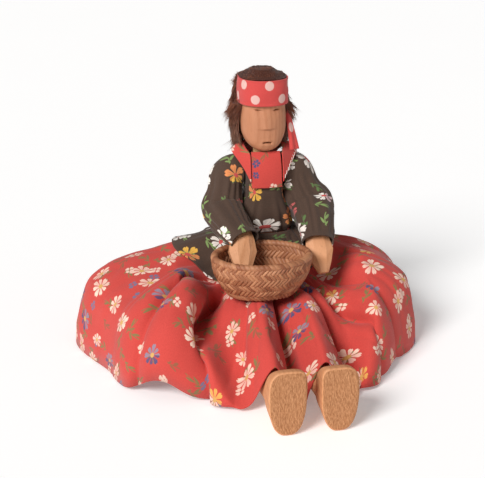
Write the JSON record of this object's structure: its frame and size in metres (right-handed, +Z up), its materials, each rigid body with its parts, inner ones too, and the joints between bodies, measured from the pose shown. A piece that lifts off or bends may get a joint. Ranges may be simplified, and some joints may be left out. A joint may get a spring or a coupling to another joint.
{
  "type": "wooden doll",
  "caption": "Seated carved wooden doll with turning head and pegged arms, in a calico blouse, collar and spread skirt, with fur hair and a plaited basket in its lap.",
  "frame": {"origin": "on the flat seat under the torso, straight below the neck", "axes": "+Z up along the neck, -Y the way the doll faces and its feet point, +X towards the doll's left"},
  "size_m": [0.2055, 0.2243, 0.1635],
  "materials": {
    "carved_wood": "bare, knife cut",
    "dowel_wood": "bare, turned",
    "fur": "long pile",
    "dotted_cotton": "matte, printed",
    "dark_calico": "matte, printed",
    "red_calico": "matte, printed",
    "splint": "bare, plaited"
  },
  "bodies": {
    "torso": {"torso": "carved_wood", "leg_right": "carved_wood", "leg_left": "carved_wood", "hip_dowel": "dowel_wood", "shoulder_peg_right": "dowel_wood", "shoulder_peg_left": "dowel_wood", "bodice": "dark_calico", "peplum": "dark_calico", "collar": "red_calico", "bib": "red_calico", "skirt": "red_calico", "basket": "splint"},
    "head": {"head": "carved_wood", "neck_dowel": "dowel_wood", "hair": "fur", "headband": "dotted_cotton", "headband_tail": "dotted_cotton"},
    "upper_arm_right": {"upper_arm_right": "carved_wood", "elbow_pin_right": "dowel_wood", "sleeve_right": "dark_calico"},
    "forearm_right": {"forearm_hand_right": "carved_wood"},
    "upper_arm_left": {"upper_arm_left": "carved_wood", "elbow_pin_left": "dowel_wood", "sleeve_left": "dark_calico"},
    "forearm_left": {"forearm_hand_left": "carved_wood"}
  },
  "joints": [
    {"name": "neck_turn", "type": "hinge", "parent": "torso", "child": "head", "pos_m": [0, 0, 0.113], "axis": [0, 0, 1], "range_deg": [-25, 25]},
    {"name": "shoulder_right", "type": "hinge", "parent": "torso", "child": "upper_arm_right", "pos_m": [-0.0156, 0, 0.104], "axis": [-0.9962, 0, 0.0872], "range_deg": [0, 70]},
    {"name": "elbow_right", "type": "hinge", "parent": "upper_arm_right", "child": "forearm_right", "pos_m": [-0.02329, -0.00976, 0.08266], "axis": [-0.9962, 0, 0.0872], "range_deg": [0, 55], "deforming": ["sleeve_right"]},
    {"name": "shoulder_left", "type": "hinge", "parent": "torso", "child": "upper_arm_left", "pos_m": [0.0156, 0, 0.104], "axis": [-0.9962, 0, -0.0872], "range_deg": [0, 70]},
    {"name": "elbow_left", "type": "hinge", "parent": "upper_arm_left", "child": "forearm_left", "pos_m": [0.02558, -0.00976, 0.08286], "axis": [-0.9962, 0, -0.0872], "range_deg": [0, 60], "deforming": ["sleeve_left"]}
  ]
}
